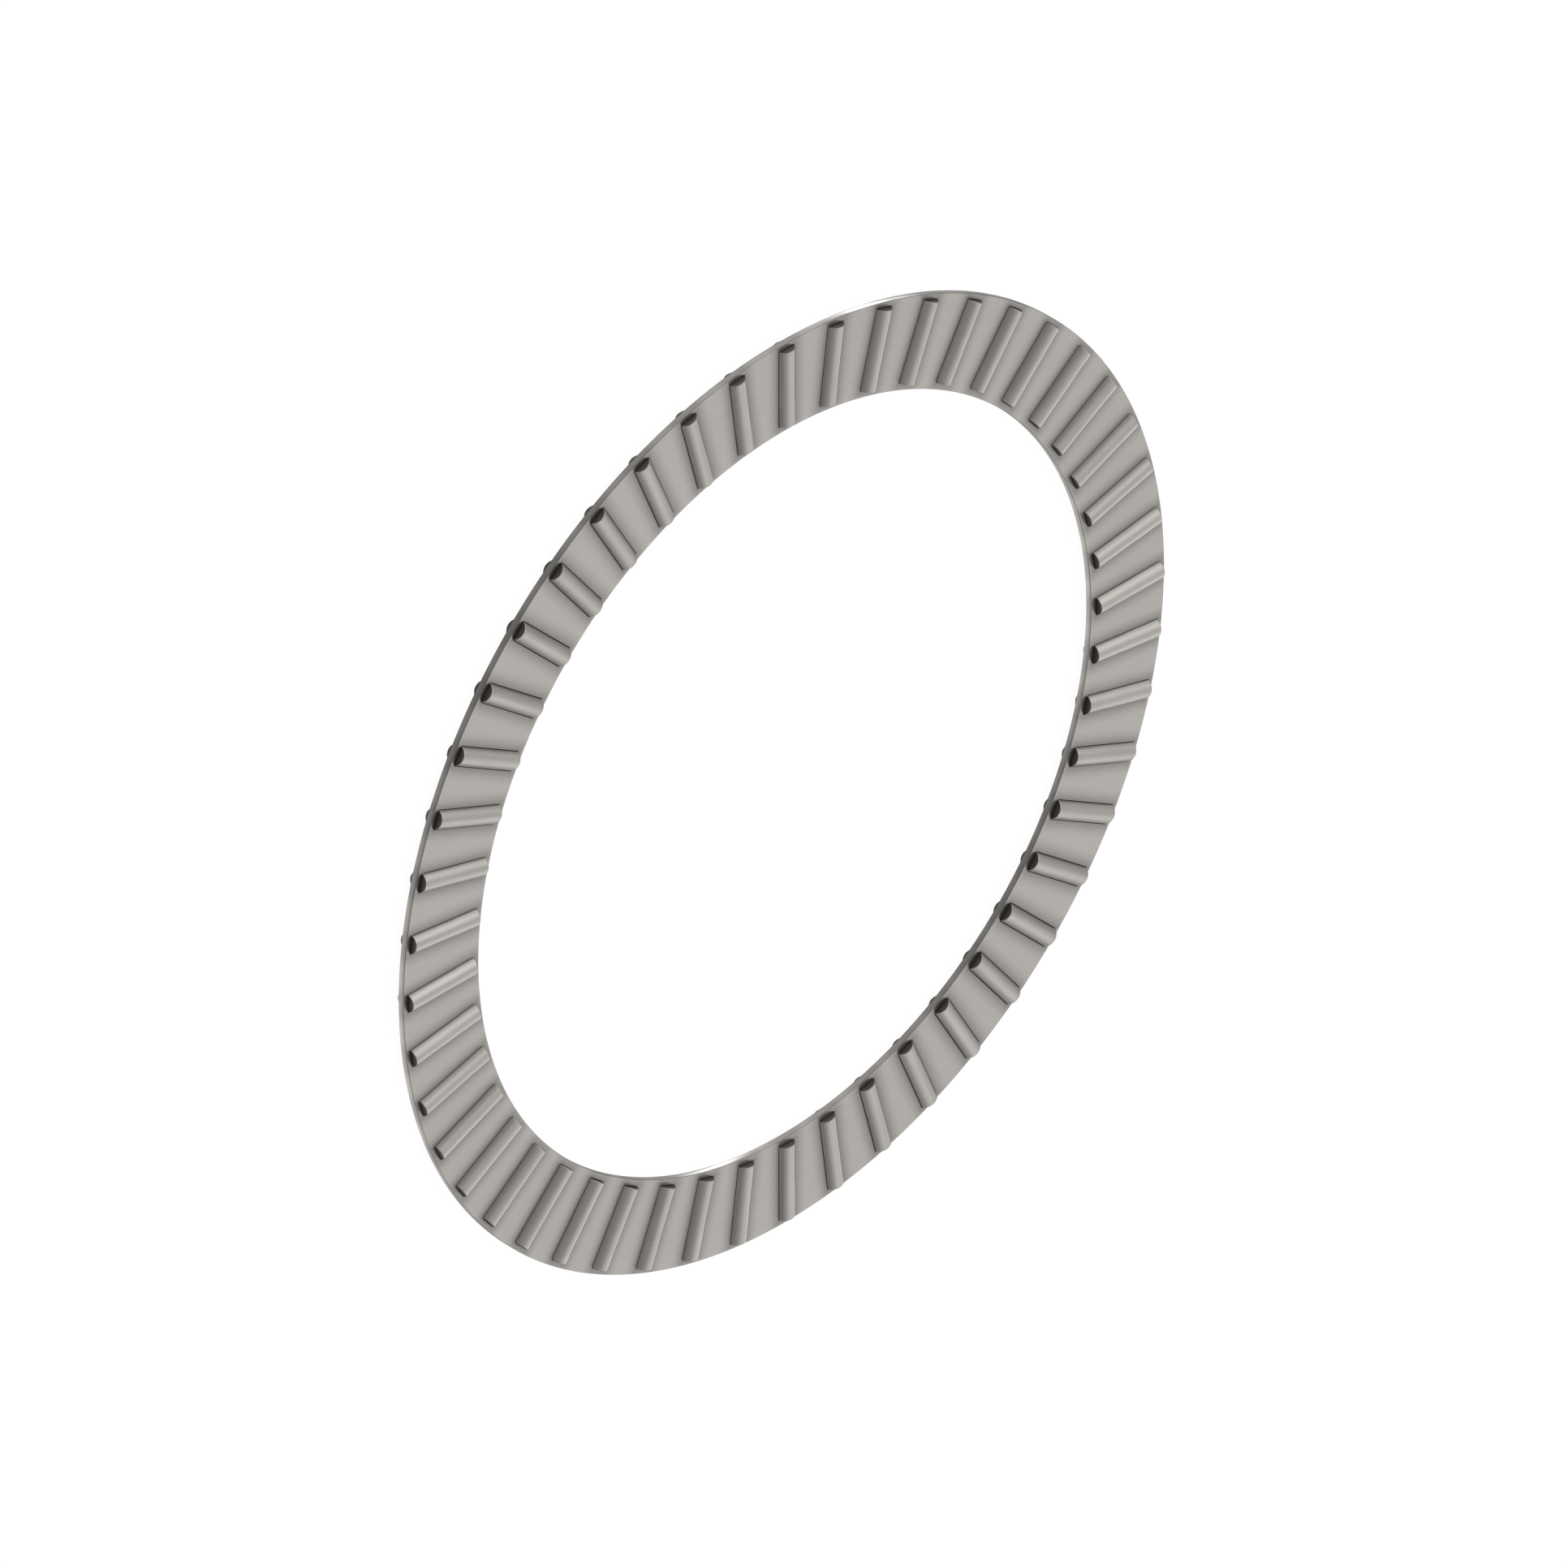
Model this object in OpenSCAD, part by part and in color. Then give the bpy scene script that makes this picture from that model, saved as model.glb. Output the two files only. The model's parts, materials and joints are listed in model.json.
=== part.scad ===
// Needle roller and cage assembly for axial (thrust) load.
// A flat ring cage carries one full circle of loose cylindrical rollers, each lying along
// a radius in its own pocket. The bearing's axis is Z, the middle of the cage sheet is
// the XY plane, and the origin is the centre of the bore. Sizes are in millimetres.

/* [Cage] */
// Diameter of the bore of the cage
cage_bore_d = 76.7; // [50:0.1:150]
// Width of the cage ring, from the wall of the bore to the outer rim
cage_w = 9.275; // [6:0.025:20]
// Thickness of the cage sheet
cage_t = 0.64; // [0.4:0.02:1.2]
// Chamfer on the four edges of the ring
cage_edge = 0.05; // [0.02:0.01:0.15]
// Width of metal between the bore and the inner end of a pocket
inner_rim_w = 0.61; // [0.3:0.01:2]
// Width of metal between the outer end of a pocket and the rim
outer_rim_w = 0.495; // [0.3:0.005:2]

/* [Rollers] */
// Number of rollers round the ring
roller_count = 48; // [24:1:56]
// Diameter of a roller
roller_d = 1.984; // [1.5:0.002:3]
// Chamfer on the two ends of a roller
roller_edge = 0.08; // [0.02:0.01:0.3]

/* [Fits] */
// Gap between a roller's side and its pocket, on the radius
side_gap = 0.04; // [0.02:0.005:0.08]
// Gap between each end of a roller and the end of its pocket
end_gap = 0.06; // [0.03:0.01:0.2]

/* [Hidden] */
$fn = 96;

// The ring
bore_r = cage_bore_d / 2;
rim_r = bore_r + cage_w;

// A pocket, measured along its radius
pocket_r = roller_d / 2 + side_gap;
pocket_in = bore_r + inner_rim_w;
pocket_out = rim_r - outer_rim_w;

// A roller, which fills its pocket but for the gap at each end
roller_r = roller_d / 2;
roller_in = pocket_in + end_gap;
roller_len = pocket_out - pocket_in - 2 * end_gap;

// Angle from one roller to the next
pitch_deg = 360 / roller_count;

// Number of a roller as two digits, counted from 1
function two_digits(i) = str(i < 10 ? "0" : "", i);
function roller_name(i) = str("roller_", two_digits(i));

// Turns what lies along +X to the place of roller i
module at_place(i) {
    rotate([0, 0, (i - 1) * pitch_deg]) children();
}

// Half section of the ring: a thin rectangle with its four corners cut
module cage_section() {
    polygon([
        [bore_r + cage_edge, -cage_t / 2],
        [rim_r - cage_edge, -cage_t / 2],
        [rim_r, -cage_t / 2 + cage_edge],
        [rim_r, cage_t / 2 - cage_edge],
        [rim_r - cage_edge, cage_t / 2],
        [bore_r + cage_edge, cage_t / 2],
        [bore_r, cage_t / 2 - cage_edge],
        [bore_r, -cage_t / 2 + cage_edge],
    ]);
}

// One pocket: a bore along the radius, wider than the sheet is thick, so it opens on both
// faces. The openings are narrower than the roller, which is held from above and below.
module pocket() {
    translate([pocket_in, 0, 0])
        rotate([0, 90, 0])
            cylinder(h = pocket_out - pocket_in, r = pocket_r);
}

// Half section of a roller, with its axis on the Y axis and its inner end at Y = 0
module roller_section() {
    polygon([
        [0, 0],
        [roller_r - roller_edge, 0],
        [roller_r, roller_edge],
        [roller_r, roller_len - roller_edge],
        [roller_r - roller_edge, roller_len],
        [0, roller_len],
    ]);
}

module cage() {
    color("#b0aca7")
        difference() {
            rotate_extrude() cage_section();
            for (i = [1:roller_count]) at_place(i) pocket();
        }
}

module roller(i) {
    color("#8d8a86")
        at_place(i)
            translate([roller_in, 0, 0])
                rotate([0, 90, 0])
                    rotate_extrude() roller_section();
}

cage();
for (i = [1:roller_count]) {
    roller(i);
}
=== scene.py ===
"""Looks of a needle roller and cage thrust assembly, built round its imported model.

The assembly lies flat: a thin ring of sheet steel with a full circle of radial pockets, and a
ground steel roller in each pocket. Lengths are in metres, and the bearing's axis is Z.
"""
import json
import logging
import math
from dataclasses import dataclass, field
from enum import Enum
from typing import Any, Iterable, Sequence

import bpy
from mathutils import Matrix, Vector


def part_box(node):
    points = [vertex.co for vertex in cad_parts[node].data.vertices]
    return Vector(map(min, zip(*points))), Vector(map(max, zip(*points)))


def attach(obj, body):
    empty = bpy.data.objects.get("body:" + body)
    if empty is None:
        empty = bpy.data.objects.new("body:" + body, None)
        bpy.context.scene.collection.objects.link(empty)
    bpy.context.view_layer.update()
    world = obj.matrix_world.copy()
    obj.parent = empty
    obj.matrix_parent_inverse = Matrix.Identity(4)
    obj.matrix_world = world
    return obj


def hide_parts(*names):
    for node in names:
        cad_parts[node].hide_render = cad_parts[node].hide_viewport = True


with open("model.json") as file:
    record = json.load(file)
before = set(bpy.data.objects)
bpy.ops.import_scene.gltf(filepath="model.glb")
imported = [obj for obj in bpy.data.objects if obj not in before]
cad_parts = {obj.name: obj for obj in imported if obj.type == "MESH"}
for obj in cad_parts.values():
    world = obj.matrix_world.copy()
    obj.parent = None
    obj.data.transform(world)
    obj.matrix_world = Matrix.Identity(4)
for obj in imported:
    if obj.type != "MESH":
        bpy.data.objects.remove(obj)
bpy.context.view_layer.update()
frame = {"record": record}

MM = 0.001
QUARTER = 90.0
FULL_TURN = 2 * math.pi
NOISE_LOW = 0.3
NOISE_HIGH = 0.7
LOG = logging.getLogger("thrust_assembly")

Point = tuple[float, float, float]
Colour = tuple[float, float, float, float]


class Slot(Enum):
    """The record's material slots."""

    CAGE = "cage_steel"
    ROLLER = "roller_steel"


class Trait(Enum):
    """Names of the values stored on the points of the meshes, which the finishes read."""

    # painted shade along the sheet's rounded edges
    EDGE = "edge_shade"
    WALL = "wall_share"
    LOCAL = "roller_place"
    END = "end_share"
    SEED = "roller_seed"


# --------------------------------------------------------------------------- node helpers


@dataclass(frozen=True)
class Pattern:
    """A fractal noise: its lumps to the metre along X, Y and Z, and its finer layers."""

    lumps: Point
    detail: float = 2.0
    rough: float = 0.5


class NodeBench:
    """A bench for wiring the nodes of one tree."""

    ACROSS = 180.0
    DOWN = -260.0
    PER_ROW = 12

    def __init__(self, tree: bpy.types.NodeTree) -> None:
        """Starts on an empty tree.

        Args:
            tree: the shader or geometry tree to fill.
        """
        self.tree = tree
        self.tree.nodes.clear()
        self.placed = 0

    def add(self, kind: str, **settings: Any) -> bpy.types.Node:
        """Adds a node.

        Args:
            kind: the node's Blender type.
            settings: properties of the node, such as its operation.

        Returns:
            The new node.
        """
        node = self.tree.nodes.new(kind)
        row, column = divmod(self.placed, self.PER_ROW)
        node.location = (self.ACROSS * column, self.DOWN * row)
        self.placed += 1
        for name, value in settings.items():
            setattr(node, name, value)
        return node

    def feed(self, node: bpy.types.Node, socket: int | str, value: Any) -> None:
        """Links a socket to an output, or sets its number.

        Args:
            node: the node whose input is fed.
            socket: the input's name or index.
            value: an output socket to link, or a plain value to set.
        """
        target = node.inputs[socket]
        if isinstance(value, bpy.types.NodeSocket):
            self.tree.links.new(value, target)
        else:
            target.default_value = value

    def math(self, operation: str, *values: Any) -> bpy.types.NodeSocket:
        """One step of arithmetic.

        Args:
            operation: the Math node's operation.
            values: its operands, as outputs or numbers.

        Returns:
            The result's output socket.
        """
        node = self.add("ShaderNodeMath", operation=operation)
        for place, value in enumerate(values):
            self.feed(node, place, value)
        return node.outputs[0]

    def vector(self, operation: str, *values: Any) -> bpy.types.Node:
        """One step of vector arithmetic.

        Args:
            operation: the Vector Math node's operation.
            values: its operands, as outputs or triples.

        Returns:
            The node, whose outputs are Vector and Value.
        """
        node = self.add("ShaderNodeVectorMath", operation=operation)
        for place, value in enumerate(values):
            self.feed(node, place, value)
        return node

    def trait(self, name: Trait, output: str = "Fac") -> bpy.types.NodeSocket:
        """A value stored on a mesh, read in a shader.

        Args:
            name: the stored value.
            output: which form of it, Fac or Vector.

        Returns:
            The output socket.
        """
        node = self.add("ShaderNodeAttribute", attribute_name=name.value)
        return node.outputs[output]

    def noise(self, place: bpy.types.NodeSocket, pattern: Pattern) -> bpy.types.NodeSocket:
        """Fractal noise.

        Args:
            place: the coordinates that it follows.
            pattern: how coarse it is.

        Returns:
            The noise's value, about 0.5 on average.
        """
        mapped = self.add("ShaderNodeMapping")
        self.feed(mapped, "Vector", place)
        self.feed(mapped, "Scale", pattern.lumps)
        node = self.add("ShaderNodeTexNoise")
        self.feed(node, "Vector", mapped.outputs[0])
        self.feed(node, "Scale", 1.0)
        self.feed(node, "Detail", pattern.detail)
        self.feed(node, "Roughness", pattern.rough)
        return node.outputs[0]

    def spread(self, value: Any, low: float, high: float, to_low: float, to_high: float,
               smooth: bool = False) -> bpy.types.NodeSocket:
        """Maps one range of numbers to another, held at its ends.

        Args:
            value: the number to map.
            low: where the first range starts.
            high: where the first range ends.
            to_low: what low becomes.
            to_high: what high becomes.
            smooth: True to ease at both ends.

        Returns:
            The mapped number.
        """
        node = self.add("ShaderNodeMapRange", clamp=True)
        node.interpolation_type = "SMOOTHSTEP" if smooth else "LINEAR"
        for place, number in enumerate((value, low, high, to_low, to_high)):
            self.feed(node, place, number)
        return node.outputs[0]

    def swing(self, noise: bpy.types.NodeSocket, reach: float,
              middle: float = 0.0) -> bpy.types.NodeSocket:
        """Turns a noise into a number that goes up and down evenly.

        Args:
            noise: the noise.
            reach: how far the number goes each way.
            middle: what it goes up and down from.

        Returns:
            The number.
        """
        return self.spread(noise, NOISE_LOW, NOISE_HIGH, middle - reach, middle + reach)

    def join(self, x: Any = 0.0, y: Any = 0.0, z: Any = 0.0) -> bpy.types.NodeSocket:
        """Joins three numbers into one vector.

        Args:
            x: its X.
            y: its Y.
            z: its Z.

        Returns:
            The vector.
        """
        node = self.add("ShaderNodeCombineXYZ")
        for place, value in enumerate((x, y, z)):
            self.feed(node, place, value)
        return node.outputs[0]

    def part(self, vector: bpy.types.NodeSocket) -> list[bpy.types.NodeSocket]:
        """Parts a vector into its X, Y and Z.

        Args:
            vector: the vector.

        Returns:
            The three numbers.
        """
        node = self.add("ShaderNodeSeparateXYZ")
        self.feed(node, 0, vector)
        return list(node.outputs)

    def length(self, x: Any, y: Any) -> bpy.types.NodeSocket:
        """The length of the long side of a right triangle.

        Args:
            x: one short side.
            y: the other one.

        Returns:
            The length.
        """
        square = self.math("ADD", self.math("MULTIPLY", x, x), self.math("MULTIPLY", y, y))
        return self.math("SQRT", square)

    def tint(self, colour: Colour, factor: Any) -> bpy.types.NodeSocket:
        """A colour made lighter or darker by a number.

        Args:
            colour: the colour at factor 1.
            factor: the number that multiplies it.

        Returns:
            The tinted colour.
        """
        node = self.vector("SCALE", colour[:3])
        self.feed(node, "Scale", factor)
        return node.outputs[0]

    def blend(self, share: Any, first: Any, second: Any) -> bpy.types.NodeSocket:
        """Mixes two colours.

        Args:
            share: how much of the second one shows.
            first: the colour at share 0.
            second: the colour at share 1.

        Returns:
            The mixed colour.
        """
        node = self.add("ShaderNodeMix", data_type="RGBA")
        self.feed(node, 0, share)
        self.feed(node, 6, first)
        self.feed(node, 7, second)
        return node.outputs[2]

    def relief(self, shader: bpy.types.Node, height: bpy.types.NodeSocket,
               distance: float) -> None:
        """Gives a shader fine relief.

        Args:
            shader: the shader.
            height: the relief, from 0 to 1.
            distance: how high 1 is, in metres.
        """
        bump = self.add("ShaderNodeBump")
        self.feed(bump, "Strength", 1.0)
        self.feed(bump, "Distance", distance)
        self.feed(bump, "Height", height)
        self.feed(shader, "Normal", bump.outputs[0])

    def layer(self, share: Any, first: bpy.types.Node,
              second: bpy.types.Node) -> bpy.types.Node:
        """Mixes two shaders.

        Args:
            share: how much of the second one shows.
            first: the node of the shader at share 0.
            second: the node of the shader at share 1.

        Returns:
            The node of the mixed shader.
        """
        node = self.add("ShaderNodeMixShader")
        for place, value in enumerate((share, first.outputs[0], second.outputs[0])):
            self.feed(node, place, value)
        return node


class ShapeTree:
    """A Geometry Nodes tree with named inputs."""

    def __init__(self, name: str) -> None:
        """Starts a tree that takes a mesh and gives one back.

        Args:
            name: the tree's name.
        """
        self.group = bpy.data.node_groups.new(name, "GeometryNodeTree")
        for side in ("INPUT", "OUTPUT"):
            self.group.interface.new_socket(
                "Geometry", in_out=side, socket_type="NodeSocketGeometry"
            )
        self.bench = NodeBench(self.group)
        self.sockets: dict[str, str] = {}

    def ask(self, name: str, kind: str, value: Any = None) -> None:
        """Adds a named input.

        Args:
            name: the input's name.
            kind: its type: Float, Int or Material.
            value: what it holds unless it is set.
        """
        socket = self.group.interface.new_socket(
            name, in_out="INPUT", socket_type="NodeSocket" + kind
        )
        if value is not None:
            socket.default_value = value
        self.sockets[name] = socket.identifier

    def entry(self) -> bpy.types.Node:
        """Adds the node that hands out the inputs."""
        return self.bench.add("NodeGroupInput")

    def finish(self, shape: bpy.types.NodeSocket, material: bpy.types.NodeSocket) -> None:
        """Ends the tree: real geometry, smooth, in its finish.

        Args:
            shape: the geometry to give back.
            material: the finish that it takes.
        """
        bench = self.bench
        real = bench.add("GeometryNodeRealizeInstances")
        bench.feed(real, "Geometry", shape)
        smooth = bench.add("GeometryNodeSetShadeSmooth")
        bench.feed(smooth, 0, real.outputs[0])
        dress = bench.add("GeometryNodeSetMaterial")
        bench.feed(dress, "Geometry", smooth.outputs[0])
        bench.feed(dress, "Material", material)
        end = bench.add("NodeGroupOutput")
        bench.feed(end, 0, dress.outputs[0])

    def store(self, shape: bpy.types.NodeSocket, name: Trait, value: Any,
              kind: str = "FLOAT") -> bpy.types.NodeSocket:
        """Stores a value on the points of a shape.

        Args:
            shape: the geometry.
            name: the name it is stored under.
            value: the value.
            kind: FLOAT or FLOAT_VECTOR.

        Returns:
            The geometry that carries the value.
        """
        node = self.bench.add("GeometryNodeStoreNamedAttribute", data_type=kind, domain="POINT")
        self.bench.feed(node, "Geometry", shape)
        self.bench.feed(node, "Name", name.value)
        self.bench.feed(node, "Value", value)
        return node.outputs[0]

    def run(self, mesh: bpy.types.Mesh, name: str, values: dict[str, Any]) -> bpy.types.Object:
        """Runs the tree on a mesh and keeps the result as a plain mesh.

        Args:
            mesh: what the tree starts from.
            name: the new piece's name.
            values: what the named inputs are set to.

        Returns:
            The piece, at the origin, with no modifier left on it.
        """
        blank = bpy.data.objects.new(name + "_blank", mesh)
        bpy.context.scene.collection.objects.link(blank)
        modifier = blank.modifiers.new("shape", "NODES")
        modifier.node_group = self.group
        for key, value in values.items():
            modifier[self.sockets[key]] = value
        blank.update_tag()
        seen = blank.evaluated_get(bpy.context.evaluated_depsgraph_get())
        made = bpy.data.meshes.new_from_object(seen)
        made.name = name
        bpy.data.objects.remove(blank)
        piece = bpy.data.objects.new(name, made)
        bpy.context.scene.collection.objects.link(piece)
        return piece


# ------------------------------------------------------------------------------- finishes


def steel_shader(bench: NodeBench) -> bpy.types.Node:
    """Adds a bare metal shader and joins it to the material's output.

    Args:
        bench: the bench of the material's tree.

    Returns:
        The Principled shader.
    """
    shader = bench.add("ShaderNodeBsdfPrincipled")
    shader.inputs["Metallic"].default_value = 1.0
    out = bench.add("ShaderNodeOutputMaterial")
    bench.feed(out, "Surface", shader.outputs[0])
    return shader


@dataclass(frozen=True)
class SheetSteelFinish:
    """Cold-rolled sheet steel after tumbling: satin, warm light grey, with smooth edges.

    The sheet is darker round each pocket: painted shade where the rollers stand in it.
    """

    name: str = "tumbled_sheet_steel"
    base: Colour = (0.525, 0.500, 0.472, 1.0)
    rolled: Pattern = Pattern((160.0, 1500.0, 1500.0), 3.0, 0.6)
    cloud: Pattern = Pattern((17.0, 17.0, 17.0), 2.0, 0.45)
    grain: Pattern = Pattern((5200.0, 5200.0, 5200.0), 2.0, 0.6)
    rolled_tone: float = 0.012
    cloud_tone: float = 0.035
    # painted shade round the pockets: how dark it is, how far it reaches and how it falls off
    pocket_shade_tone: float = 0.48
    pocket_shade_reach: float = 1.56 * MM
    pocket_shade_fall: float = 1.7
    # how much darker the painted shade makes the rounded edges
    edge_shade_tone: float = -0.45
    rough_face: float = 0.33
    rough_wall: float = 0.20
    rough_change: float = 0.03
    grain_height: float = 0.0002 * MM

    def pocket_shade_share(self, bench: NodeBench, place: bpy.types.NodeSocket,
                  pocket: "PocketPlan") -> bpy.types.NodeSocket:
        """How much painted shade the sheet takes round the pockets: 1 at a pocket's edge, falling
        to 0 further out.

        Args:
            bench: the bench of the material's tree.
            place: Object coordinates.
            pocket: the pockets' number and plan size.

        Returns:
            The share.
        """
        x, y, _ = bench.part(place)
        pitch = FULL_TURN / pocket.count
        turns = bench.math("DIVIDE", bench.math("ARCTAN2", y, x), pitch)
        fold = bench.math("SUBTRACT", turns, bench.math("ROUND", turns))
        fold = bench.math("MULTIPLY", fold, pitch)
        radius = bench.length(x, y)
        along = bench.math("MULTIPLY", radius, bench.math("COSINE", fold))
        aside = bench.math("ABSOLUTE", bench.math("MULTIPLY", radius, bench.math("SINE", fold)))
        beyond = bench.math("MAXIMUM", bench.math("SUBTRACT", pocket.low, along),
                            bench.math("SUBTRACT", along, pocket.high))
        beyond = bench.math("MAXIMUM", beyond, 0.0)
        aside = bench.math("MAXIMUM", bench.math("SUBTRACT", aside, pocket.half), 0.0)
        near = bench.spread(bench.length(beyond, aside), 0.0, self.pocket_shade_reach, 1.0, 0.0)
        return bench.math("POWER", near, self.pocket_shade_fall)

    def material(self, pocket: "PocketPlan") -> bpy.types.Material:
        """Builds the material.

        Args:
            pocket: the pockets' number and plan size.

        Returns:
            The material, which reads Object coordinates and the sheet's stored values.
        """
        made = bpy.data.materials.new(self.name)
        made.use_nodes = True
        bench = NodeBench(made.node_tree)
        shader = steel_shader(bench)
        place = bench.add("ShaderNodeTexCoord").outputs["Object"]
        rolled = bench.noise(place, self.rolled)
        cloud = bench.noise(place, self.cloud)
        grain = bench.noise(place, self.grain)
        tone = bench.math("ADD", bench.swing(rolled, self.rolled_tone),
                          bench.swing(cloud, self.cloud_tone))
        # painted shade: the rounded edges of the rim, bore and pockets are drawn darker
        edge_shaded = bench.math("MULTIPLY", bench.trait(Trait.EDGE), self.edge_shade_tone)
        # painted shade: the sheet is darkened round each pocket, where the rollers stand
        pocket_shaded = bench.math("MULTIPLY", self.pocket_shade_share(bench, place, pocket), -self.pocket_shade_tone)
        tone = bench.math("ADD", bench.math("ADD", tone, 1.0), bench.math("ADD", edge_shaded, pocket_shaded))
        bench.feed(shader, "Base Color", bench.tint(self.base, tone))
        rough = bench.spread(bench.trait(Trait.WALL), 0.0, 1.0, self.rough_face, self.rough_wall)
        rough = bench.math("ADD", rough, bench.swing(grain, self.rough_change))
        bench.feed(shader, "Roughness", rough)
        bench.relief(shader, bench.math("ADD", grain, rolled), self.grain_height)
        return made


@dataclass(frozen=True)
class GroundSteelFinish:
    """Hardened bearing steel: a finely ground barrel, and ends coloured darker as painted shade
    where they stand in the pockets.

    Faint streaks run along the barrel, left by the bar it was cut from.
    """

    name: str = "ground_roller_steel"
    base: Colour = (0.525, 0.500, 0.472, 1.0)
    # painted shade: the darker colour given to the roller end faces
    ends: Colour = (0.190, 0.178, 0.164, 1.0)
    lines: Pattern = Pattern((9000.0, 260.0, 260.0))
    streaks: Pattern = Pattern((70.0, 2300.0, 2300.0), 2.5, 0.6)
    patches: Pattern = Pattern((330.0, 700.0, 700.0))
    line_tone: float = 0.02
    streak_tone: float = 0.06
    end_starts: float = 0.35
    end_is_full: float = 0.65
    rough_barrel: float = 0.12
    rough_ends: float = 0.40
    rough_change: float = 0.03
    line_height: float = 0.0001 * MM

    def material(self) -> bpy.types.Material:
        """Builds the material.

        Returns:
            The material, which reads each roller's own stored place.
        """
        made = bpy.data.materials.new(self.name)
        made.use_nodes = True
        bench = NodeBench(made.node_tree)
        shader = steel_shader(bench)
        seed = bench.trait(Trait.SEED)
        offset = bench.join(seed, seed, seed)
        place = bench.vector("ADD", bench.trait(Trait.LOCAL, "Vector"), offset).outputs[0]
        lines = bench.noise(place, self.lines)
        streaks = bench.noise(place, self.streaks)
        patches = bench.noise(place, self.patches)
        end = bench.spread(bench.trait(Trait.END), self.end_starts, self.end_is_full, 0.0, 1.0,
                           smooth=True)
        tone = bench.math("ADD", bench.swing(lines, self.line_tone, 1.0),
                          bench.swing(patches, self.line_tone))
        tone = bench.math("ADD", tone, bench.swing(streaks, self.streak_tone))
        # painted shade: the end faces take the darker colour
        colour = bench.blend(end, bench.tint(self.base, tone), bench.tint(self.ends, tone))
        bench.feed(shader, "Base Color", colour)
        rough = bench.math("ADD", bench.spread(end, 0.0, 1.0, self.rough_barrel, self.rough_ends),
                           bench.swing(patches, self.rough_change))
        bench.feed(shader, "Roughness", rough)
        bench.relief(shader, lines, self.line_height)
        return made


# ----------------------------------------------------------------------------- the pieces


@dataclass(frozen=True)
class AssemblySizes:
    """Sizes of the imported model, in metres."""

    bore_r: float
    rim_r: float
    sheet_t: float
    roller_r: float
    roller_in: float
    roller_out: float
    turns: dict[str, float]

    @classmethod
    def from_frame(cls) -> "AssemblySizes":
        """Reads the sizes from the frame.

        Returns:
            The sizes, with each roller's angle about Z by its name.
        """
        mounts = {m["name"]: m for m in frame["record"]["mounts"]}
        cage_low, cage_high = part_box("cage")
        first_low, first_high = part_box("roller_01")
        joints = frame["record"]["behaviour"]["joints"]
        turns = {j["child"]: math.atan2(j["axis"][1], j["axis"][0]) for j in joints}
        return cls(
            bore_r=mounts["shaft_bore"]["dims"]["r_mm"] * MM,
            rim_r=mounts["housing_rim"]["dims"]["r_mm"] * MM,
            sheet_t=cage_high[2] - cage_low[2],
            roller_r=mounts["upper_raceway_plane"]["pos_m"][2],
            roller_in=first_low[0],
            roller_out=first_high[0],
            turns=turns,
        )


class LoopShell:
    """A mesh laid loop by loop, with the painted shade of the rounded edges and the upright walls
    marked on its points.
    """

    def __init__(self) -> None:
        """Starts empty."""
        self.points: list[Point] = []
        self.edge_shade_share: list[float] = []
        self.upright: list[float] = []
        self.faces: list[tuple[int, int, int, int]] = []

    def loop(self, points: Sequence[Point], edge_shade_share: float = 0.0, upright: float = 0.0,
             marked: set[int] | None = None) -> list[int]:
        """edge_shade_share: how much painted shade darkens them, on the sheet's rounded edges.

        Args:
            points: the points.
            edge_shade_share: how worn they are.
            upright: 1 on an upright wall.
            marked: which of them those two hold for, or None for all.

        Returns:
            The points' numbers.
        """
        first = len(self.points)
        self.points.extend(points)
        for k in range(len(points)):
            share = 1.0 if marked is None or k in marked else 0.0
            self.edge_shade_share.append(edge_shade_share * share)
            self.upright.append(upright * share)
        return list(range(first, len(self.points)))

    def skin(self, inner: Sequence[int], outer: Sequence[int], closed: bool = True) -> None:
        """Joins two loops with faces.

        Args:
            inner: the first loop, which lies to the left of the faces' walk.
            outer: the second loop, point for point beside it.
            closed: True to join the ends too.
        """
        count = len(inner)
        for i in range(count if closed else count - 1):
            j = (i + 1) % count
            self.faces.append((inner[i], outer[i], outer[j], inner[j]))

    def mesh(self, name: str) -> bpy.types.Mesh:
        """Makes the mesh, without the points that no face uses.

        Args:
            name: the mesh's name.

        Returns:
            The mesh.
        """
        used = sorted({i for face in self.faces for i in face})
        number = {old: new for new, old in enumerate(used)}
        mesh = bpy.data.meshes.new(name)
        faces = [[number[i] for i in face] for face in self.faces]
        mesh.from_pydata([self.points[i] for i in used], [], faces)
        for trait, values in ((Trait.EDGE, self.edge_shade_share), (Trait.WALL, self.upright)):
            stored = mesh.attributes.new(trait.value, "FLOAT", "POINT")
            stored.data.foreach_set("value", [values[i] for i in used])
        return mesh


@dataclass(frozen=True)
class PocketPlan:
    """The pockets seen from above: how many, and the size of one that lies along X."""

    count: int
    low: float
    high: float
    half: float


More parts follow.
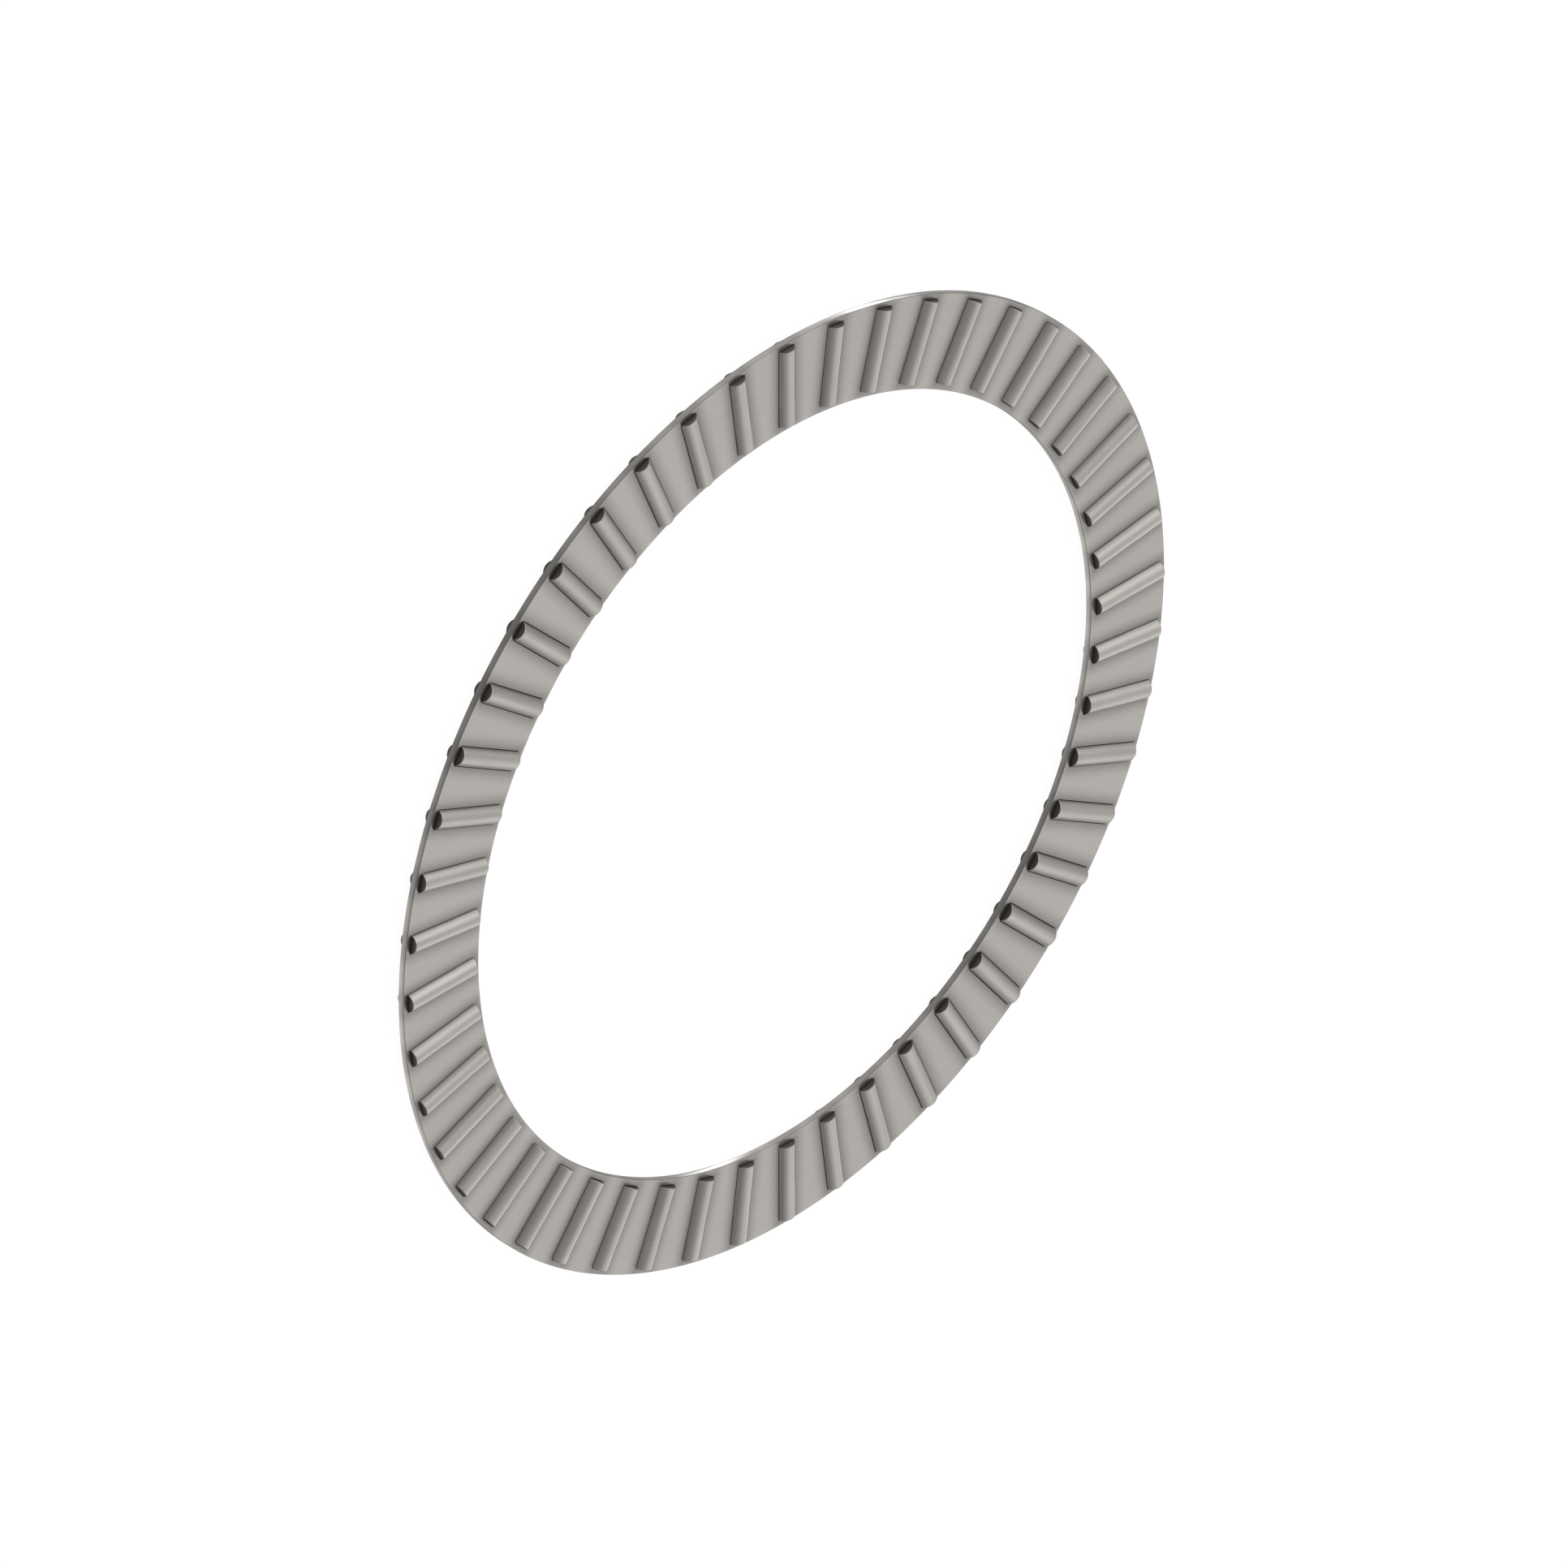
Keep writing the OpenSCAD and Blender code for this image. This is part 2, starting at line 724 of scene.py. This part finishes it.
@dataclass
class CageSheet:
    """The flat ring with its pockets."""

    sizes: AssemblySizes
    finish: SheetSteelFinish = field(default_factory=SheetSteelFinish)
    side_gap: float = 0.02 * MM
    end_gap: float = 0.01 * MM
    edge_round: float = 0.05 * MM
    corner_round: float = 0.10 * MM
    brace: float = 0.03 * MM
    halo: float = 0.22 * MM
    side_inset: float = 0.09 * MM
    inner_share: float = 0.42
    join_distance: float = 0.001 * MM
    short_steps: int = 4
    corner_steps: int = 3
    long_steps: int = 10
    round_steps: int = 4

    def pocket_half(self, height: float) -> float:
        """Half the width of a pocket, whose long walls follow the roller, at one height."""
        return math.sqrt((self.sizes.roller_r + self.side_gap) ** 2 - height ** 2)

    def pocket_plan(self) -> PocketPlan:
        """The pockets' plan where they open on a face of the sheet.

        Returns:
            The plan.
        """
        s = self.sizes
        return PocketPlan(
            count=len(s.turns),
            low=s.roller_in - self.end_gap,
            high=s.roller_out + self.end_gap,
            half=self.pocket_half(s.sheet_t / 2),
        )

    def pocket_outline(self, height: float, grow: float) -> list[Point]:
        """The pocket's outline at one height, walked anticlockwise seen from above.

        Args:
            height: the height above the middle of the sheet.
            grow: how far outside the pocket's wall the outline runs.

        Returns:
            The points.
        """
        s = self.sizes
        half = self.pocket_half(height) + grow
        low = s.roller_in - self.end_gap - grow
        high = s.roller_out + self.end_gap + grow
        r = self.corner_round + grow
        corners = [(high - r, half - r, 0.0), (low + r, half - r, QUARTER),
                   (low + r, r - half, 2 * QUARTER), (high - r, r - half, 3 * QUARTER)]
        steps = [self.long_steps, self.short_steps, self.long_steps, self.short_steps]
        points: list[Point] = []
        for (x, y, start), following, count in zip(corners, corners[1:] + corners[:1], steps):
            for k in range(self.corner_steps + 1):
                a = math.radians(start + QUARTER * k / self.corner_steps)
                points.append((x + r * math.cos(a), y + r * math.sin(a), height))
            end = math.radians(start + QUARTER)
            ax, ay, _ = points[-1]
            bx = following[0] + r * math.cos(end)
            by = following[1] + r * math.sin(end)
            for k in range(1, count):
                t = k / count
                points.append((ax + (bx - ax) * t, ay + (by - ay) * t, height))
        return points

    def cell_outline(self, height: float, inset: float, rim: float, bore: float) -> list[Point]:
        """The outline of one pitch of the ring, point for point beside the pocket's.

        Args:
            height: the height above the middle of the sheet.
            inset: how far inside the pitch's two straight sides the outline runs.
            rim: radius of its outer arc.
            bore: radius of its inner arc.

        Returns:
            The points.
        """
        half = math.pi / len(self.sizes.turns) - inset / ((rim + bore) / 2)
        inner = self.inner_share * half
        reach = rim - bore
        step = reach / (self.long_steps + 2)
        last = self.corner_steps - 1
        arc_share = [inner + (half - inner) * k / last for k in range(self.corner_steps)]

        def walk(radius: float, angles: Iterable[float]) -> list[Point]:
            """Points at one radius."""
            return [(radius * math.cos(a), radius * math.sin(a), height) for a in angles]

        def climb(radii: Iterable[float], sign: int) -> list[Point]:
            """Points along one straight side."""
            return [(r * math.cos(half), sign * r * math.sin(half), height) for r in radii]

        side = [step * (k + 1) for k in range(self.long_steps + 1)]
        short = [inner - 2 * inner * k / self.short_steps for k in range(1, self.short_steps)]
        points = walk(rim, arc_share)
        points += climb([rim - d for d in side], 1)
        points += walk(bore, reversed(arc_share))
        points += walk(bore, short)
        points += walk(bore, [-a for a in arc_share])
        points += climb([bore + d for d in side], -1)
        points += walk(rim, [-a for a in reversed(arc_share)])
        points += walk(rim, [-a for a in short])
        return points

    def section(self) -> list[tuple[float, float, float]]:
        """The sheet's edge in section, from its top face down to its bottom face.

        Returns:
            For each corner of it, the distance in from the edge, the height and the share of
            painted edge shade.
        """
        e, n, top = self.edge_round, self.round_steps, self.sizes.sheet_t / 2
        upper = []
        for k in range(n + 1):
            a = math.radians(QUARTER * k / n)
            # the painted edge shade is strongest halfway round each rounded edge
            upper.append((e * (1 - math.sin(a)), top - e * (1 - math.cos(a)), math.sin(2 * a)))
        return upper + [(0.0, 0.0, 0.0)] + [(g, -z, w) for g, z, w in reversed(upper)]

    def pitch_mesh(self) -> bpy.types.Mesh:
        """Builds one pitch of the ring, open where its neighbours join it.

        Returns:
            The mesh, with the painted shade of its rounded edges and its upright walls marked on
            it.
        """
        s, e, top = self.sizes, self.edge_round, self.sizes.sheet_t / 2
        shell = LoopShell()
        arc = self.corner_steps + self.long_steps + 1
        short = self.corner_steps * 2 + self.short_steps - 1
        walls, rims = [], []
        for g, z, edge_shade_share in self.section():
            walls.append(shell.loop(self.pocket_outline(z, g), edge_shade_share, 1.0))
            outline = self.cell_outline(z, 0.0, s.rim_r - g, s.bore_r + g)
            count = len(outline)
            bore_run = [arc + k for k in range(short)]
            rim_run = [(arc + short + self.long_steps + 1 + k) % count for k in range(short)]
            rims.append(shell.loop(outline, edge_shade_share, 1.0, set(bore_run + rim_run)))
        for upper, lower in zip(walls, walls[1:]):
            shell.skin(lower, upper)
        for run in (rim_run, bore_run):
            for upper, lower in zip(rims, rims[1:]):
                shell.skin([upper[i] for i in run], [lower[i] for i in run], closed=False)
        for z, inner, outer in ((top, walls[0], rims[0]), (-top, walls[-1], rims[-1])):
            loops = [
                inner,
                shell.loop(self.pocket_outline(z, e + self.brace)),
                shell.loop(self.pocket_outline(z, e + self.halo)),
                shell.loop(self.cell_outline(z, self.side_inset, s.rim_r - e - self.brace,
                                             s.bore_r + e + self.brace)),
                outer,
            ]
            for a, b in zip(loops, loops[1:]):
                if z > 0:
                    shell.skin(a, b)
                else:
                    shell.skin(b, a)
        return shell.mesh("cage_pitch")

    def ring_tree(self) -> ShapeTree:
        """Builds the tree that sets pitches round a circle and joins them into one ring.

        Returns:
            The tree.
        """
        tree = ShapeTree("ring_of_pitches")
        tree.ask("Pitches", "Int", len(self.sizes.turns))
        tree.ask("Join Distance", "Float", self.join_distance)
        tree.ask("Finish", "Material")
        bench, entry = tree.bench, tree.entry()
        posts = bench.add("GeometryNodePoints")
        bench.feed(posts, "Count", entry.outputs["Pitches"])
        bench.feed(posts, "Position", (0.0, 0.0, 0.0))
        index = bench.add("GeometryNodeInputIndex").outputs[0]
        turn = bench.math("MULTIPLY", index, FULL_TURN)
        turn = bench.math("DIVIDE", turn, entry.outputs["Pitches"])
        spin = bench.add("FunctionNodeEulerToRotation")
        bench.feed(spin, 0, bench.join(z=turn))
        ring = bench.add("GeometryNodeInstanceOnPoints")
        bench.feed(ring, "Points", posts.outputs[0])
        bench.feed(ring, "Instance", entry.outputs["Geometry"])
        bench.feed(ring, "Rotation", spin.outputs[0])
        real = bench.add("GeometryNodeRealizeInstances")
        bench.feed(real, 0, ring.outputs[0])
        weld = bench.add("GeometryNodeMergeByDistance")
        bench.feed(weld, "Geometry", real.outputs[0])
        bench.feed(weld, "Distance", entry.outputs["Join Distance"])
        tree.finish(weld.outputs[0], entry.outputs["Finish"])
        return tree

    def build(self) -> bpy.types.Object:
        """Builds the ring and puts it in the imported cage's place.

        Returns:
            The piece.
        """
        plan = self.pocket_plan()
        values = {"Pitches": plan.count, "Join Distance": self.join_distance,
                  "Finish": self.finish.material(plan)}
        piece = self.ring_tree().run(self.pitch_mesh(), "pocketed_ring_cage", values)
        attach(piece, "cage")
        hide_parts("cage")
        return piece


@dataclass
class RollerSet:
    """The full circle of rollers, one mesh for each."""

    sizes: AssemblySizes
    finish: GroundSteelFinish = field(default_factory=GroundSteelFinish)
    end_round: float = 0.08 * MM
    round_steps: int = 5
    brace: float = 0.06 * MM
    facets: int = 72
    seed_step: float = 0.37
    join_distance: float = 0.0005 * MM

    def profile_mesh(self) -> bpy.types.Mesh:
        """The half section of a roller, from the middle of one end to that of the other.

        Returns:
            A mesh of points in order: X is the distance along the axis, Y the radius, and
            the share of the end face is stored on each.
        """
        r, e = self.sizes.roller_r, self.end_round
        length = self.sizes.roller_out - self.sizes.roller_in
        half = [(0.0, 0.0, 1.0), (0.0, r / 2, 1.0), (0.0, r - e - self.brace / 2, 1.0)]
        for k in range(self.round_steps + 1):
            share = k / self.round_steps
            a = math.radians(QUARTER * k / self.round_steps)
            half.append((e * (1 - math.cos(a)), r - e + e * math.sin(a), 1.0 - share))
        half.append((e + self.brace, r, 0.0))
        half.append((length / 4, r, 0.0))
        mirrored = [(length - x, y, w) for x, y, w in reversed(half)]
        points = half + [(length / 2, r, 0.0)] + mirrored
        mesh = bpy.data.meshes.new("roller_profile")
        edges = [(i, i + 1) for i in range(len(points) - 1)]
        mesh.from_pydata([(x, y, 0.0) for x, y, _ in points], edges, [])
        stored = mesh.attributes.new(Trait.END.value, "FLOAT", "POINT")
        stored.data.foreach_set("value", [w for _, _, w in points])
        return mesh

    def lathe_tree(self) -> ShapeTree:
        """Builds the tree that turns the profile into a roller and lays it in its pocket.

        Returns:
            The tree.
        """
        tree = ShapeTree("turned_roller")
        tree.ask("Facets", "Int", self.facets)
        tree.ask("Inner End", "Float", 0.0)
        tree.ask("Turn", "Float", 0.0)
        tree.ask("Seed", "Float", 0.0)
        tree.ask("Join Distance", "Float", self.join_distance)
        tree.ask("Finish", "Material")
        bench, entry = tree.bench, tree.entry()
        size = bench.add("GeometryNodeAttributeDomainSize", component="MESH")
        bench.feed(size, 0, entry.outputs["Geometry"])
        rows = size.outputs["Point Count"]
        grid = bench.add("GeometryNodeMeshGrid")
        bench.feed(grid, "Vertices X", bench.math("ADD", entry.outputs["Facets"], 1.0))
        bench.feed(grid, "Vertices Y", rows)
        x, y, _ = bench.part(bench.add("GeometryNodeInputPosition").outputs[0])
        angle = bench.math("MULTIPLY", bench.math("ADD", x, 0.5), FULL_TURN)
        last = bench.math("SUBTRACT", rows, 1.0)
        row = bench.math("MULTIPLY", bench.math("ADD", y, 0.5), last)
        row = bench.math("ROUND", row)
        spot = bench.add("GeometryNodeSampleIndex", data_type="FLOAT_VECTOR", domain="POINT")
        bench.feed(spot, "Geometry", entry.outputs["Geometry"])
        bench.feed(spot, "Value", bench.add("GeometryNodeInputPosition").outputs[0])
        bench.feed(spot, "Index", row)
        named = bench.add("GeometryNodeInputNamedAttribute", data_type="FLOAT")
        bench.feed(named, "Name", Trait.END.value)
        share = bench.add("GeometryNodeSampleIndex", data_type="FLOAT", domain="POINT")
        bench.feed(share, "Geometry", entry.outputs["Geometry"])
        bench.feed(share, "Value", named.outputs["Attribute"])
        bench.feed(share, "Index", row)
        along, radius, _ = bench.part(spot.outputs[0])
        across = bench.math("MULTIPLY", radius, bench.math("COSINE", angle))
        upwards = bench.math("MULTIPLY", radius, bench.math("SINE", angle))
        marked = tree.store(grid.outputs["Mesh"], Trait.END, share.outputs[0])
        turned = bench.add("GeometryNodeSetPosition")
        bench.feed(turned, "Geometry", marked)
        bench.feed(turned, "Position", bench.join(along, across, upwards))
        weld = bench.add("GeometryNodeMergeByDistance")
        bench.feed(weld, "Geometry", turned.outputs[0])
        bench.feed(weld, "Distance", entry.outputs["Join Distance"])
        known = tree.store(weld.outputs[0], Trait.LOCAL,
                           bench.add("GeometryNodeInputPosition").outputs[0], "FLOAT_VECTOR")
        known = tree.store(known, Trait.SEED, entry.outputs["Seed"])
        moved = bench.add("GeometryNodeTransform")
        bench.feed(moved, "Geometry", known)
        bench.feed(moved, "Translation", bench.join(x=entry.outputs["Inner End"]))
        laid = bench.add("GeometryNodeTransform")
        bench.feed(laid, "Geometry", moved.outputs[0])
        bench.feed(laid, "Rotation", bench.join(z=entry.outputs["Turn"]))
        tree.finish(laid.outputs[0], entry.outputs["Finish"])
        return tree

    def build(self) -> list[bpy.types.Object]:
        """Builds every roller and puts it in its packed roller's place.

        Returns:
            The pieces, in the order of their names.
        """
        tree, profile, material = self.lathe_tree(), self.profile_mesh(), self.finish.material()
        pieces = []
        for number, (body, turn) in enumerate(sorted(self.sizes.turns.items())):
            values = {"Facets": self.facets, "Inner End": self.sizes.roller_in, "Turn": turn,
                      "Seed": self.seed_step * number, "Join Distance": self.join_distance,
                      "Finish": material}
            piece = tree.run(profile, "ground_" + body, values)
            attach(piece, body)
            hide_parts(body)
            pieces.append(piece)
        return pieces


# -------------------------------------------------------------------------------- studio


@dataclass(frozen=True)
class SoftLight:
    """A soft round light in the surroundings, at half its strength at the edge of its width.

    Angles are in degrees. It is slightly cool where cool is above 0.
    """

    azimuth: float
    elevation: float
    width: float
    strength: float
    cool: float = 0.0

    def direction(self) -> Point:
        """The direction towards its middle."""
        a, e = math.radians(self.azimuth), math.radians(self.elevation)
        return (math.cos(e) * math.cos(a), math.cos(e) * math.sin(a), math.sin(e))

    def tightness(self) -> float:
        """How fast it falls off away from its middle."""
        return math.log(2.0) / (1.0 - math.cos(math.radians(self.width / 2)))

    def colour(self) -> Point:
        """The light's colour at its middle."""
        return (self.strength * (1.0 - self.cool), self.strength, self.strength * (1.0 + self.cool))


@dataclass
class Studio:
    """A pale glass table, soft surroundings and a long lens."""

    sizes: AssemblySizes
    view_width: float = 138.84 * MM
    half_angle: float = 1.0
    sensor: float = 36.0
    clip_start: float = 0.1
    clip_end: float = 100.0
    floor_size: float = 16.0
    floor_glow: float = 0.96
    floor_share: float = 0.14
    floor_tone: float = 0.80
    level: float = 1.0
    ambient: float = 0.02
    under_share: float = 0.42
    under_start: float = -0.63
    under_end: float = -0.84
    back_window: SoftLight = SoftLight(115.0, 35.0, 70.0, 0.75)
    back_strip: SoftLight = SoftLight(135.0, 5.0, 30.0, 0.60)
    left_box: SoftLight = SoftLight(220.0, 40.0, 60.0, 0.90)
    right_fill: SoftLight = SoftLight(345.0, 45.0, 120.0, 0.30)
    under_back: SoftLight = SoftLight(60.0, -60.0, 60.0, 1.30)
    under_left: SoftLight = SoftLight(225.0, -40.0, 90.0, 0.70)
    rim_lamp: SoftLight = SoftLight(200.0, -35.0, 8.0, 5.00, 0.04)

    def lights(self) -> tuple[SoftLight, ...]:
        """The lights above the table, then the ones beneath it."""
        above = (self.back_window, self.back_strip, self.left_box, self.right_fill)
        return above + (self.under_back, self.under_left, self.rim_lamp)

    def surroundings(self) -> None:
        """Fills the world with soft light; the camera itself sees it white.

        Straight below the object the light is dimmed, because the table shades itself there.
        """
        world = bpy.data.worlds.new("soft_studio")
        bpy.context.scene.world = world
        world.use_nodes = True
        bench = NodeBench(world.node_tree)
        direction = bench.add("ShaderNodeTexCoord").outputs["Generated"]
        total: Any = (self.ambient, self.ambient, self.ambient)
        for light in self.lights():
            facing = bench.vector("DOT_PRODUCT", direction, light.direction()).outputs["Value"]
            fall = bench.math("MULTIPLY", bench.math("SUBTRACT", facing, 1.0), light.tightness())
            glow = bench.vector("SCALE", light.colour())
            bench.feed(glow, "Scale", bench.math("EXPONENT", fall))
            total = bench.vector("ADD", total, glow.outputs[0]).outputs[0]
        _, _, height = bench.part(direction)
        shade = bench.spread(height, self.under_end, self.under_start, self.under_share, 1.0,
                             smooth=True)
        total = bench.vector("SCALE", total)
        bench.feed(total, "Scale", shade)
        lit = bench.add("ShaderNodeBackground")
        bench.feed(lit, "Color", total.outputs[0])
        bench.feed(lit, "Strength", self.level)
        seen = bench.add("ShaderNodeBackground")
        bench.feed(seen, "Color", (1.0, 1.0, 1.0, 1.0))
        path = bench.add("ShaderNodeLightPath")
        mix = bench.layer(path.outputs["Is Camera Ray"], lit, seen)
        out = bench.add("ShaderNodeOutputWorld")
        bench.feed(out, "Surface", mix.outputs[0])

    def floor_finish(self) -> bpy.types.Material:
        """A matt pale table top, lit from within so that it stays nearly white.

        Light from below passes through it to the metal that stands on it.

        Returns:
            The material.
        """
        made = bpy.data.materials.new("pale_table_top")
        made.use_nodes = True
        bench = NodeBench(made.node_tree)
        matt = bench.add("ShaderNodeBsdfDiffuse")
        tone = self.floor_tone
        bench.feed(matt, "Color", (tone, tone, tone, 1.0))
        glow = bench.add("ShaderNodeEmission")
        bench.feed(glow, "Strength", self.floor_glow / (1.0 - self.floor_share))
        table = bench.layer(self.floor_share, glow, matt)
        path = bench.add("ShaderNodeLightPath")
        clear = bench.add("ShaderNodeBsdfTransparent")
        other = bench.layer(path.outputs["Is Glossy Ray"], matt, clear)
        seen = bench.layer(path.outputs["Is Camera Ray"], other, table)
        out = bench.add("ShaderNodeOutputMaterial")
        bench.feed(out, "Surface", seen.outputs[0])
        return made

    def floor(self) -> bpy.types.Object:
        """Lays the table top under the rollers.

        Returns:
            The floor, which isn't part of the object.
        """
        h, z = self.floor_size / 2, -self.sizes.roller_r
        mesh = bpy.data.meshes.new("table_top")
        mesh.from_pydata([(-h, -h, z), (h, -h, z), (h, h, z), (-h, h, z)], [], [(0, 1, 2, 3)])
        mesh.materials.append(self.floor_finish())
        top = bpy.data.objects.new("table_top", mesh)
        bpy.context.scene.collection.objects.link(top)
        return top

    def camera(self) -> bpy.types.Object:
        """Sets up the camera, which looks equally along the three axes with the bearing's
        axis falling to the lower right.

        Returns:
            The camera.
        """
        data = bpy.data.cameras.new("long_lens")
        data.sensor_width = self.sensor
        data.lens = self.sensor / 2 / math.tan(math.radians(self.half_angle))
        distance = self.view_width / 2 / math.tan(math.radians(self.half_angle))
        data.clip_start = self.clip_start
        data.clip_end = self.clip_end
        camera = bpy.data.objects.new("long_lens", data)
        bpy.context.scene.collection.objects.link(camera)
        back = Vector((1.0, -1.0, 1.0)).normalized()
        right = Vector((-1.0, 0.0, 1.0)).normalized()
        up = back.cross(right)
        place = Matrix((right, up, back)).transposed().to_4x4()
        place.translation = back * distance
        camera.matrix_world = place
        bpy.context.scene.camera = camera
        return camera

    def build(self) -> None:
        """Sets up the light, the floor, the camera and how tones are shown."""
        self.surroundings()
        self.floor()
        self.camera()
        bpy.context.scene.view_settings.view_transform = "Standard"


def report(piece: bpy.types.Object) -> None:
    """Logs a piece's name and how fine its mesh is."""
    mesh = piece.data
    LOG.info("%s: %d points, %d faces", piece.name, len(mesh.vertices), len(mesh.polygons))


def main() -> None:
    """Builds the assembly and the studio round it."""
    logging.basicConfig(level=logging.INFO, format="%(name)s %(message)s")
    sizes = AssemblySizes.from_frame()
    Studio(sizes).build()
    report(CageSheet(sizes).build())
    for roller in RollerSet(sizes).build():
        report(roller)


if __name__ == "__main__":
    main()
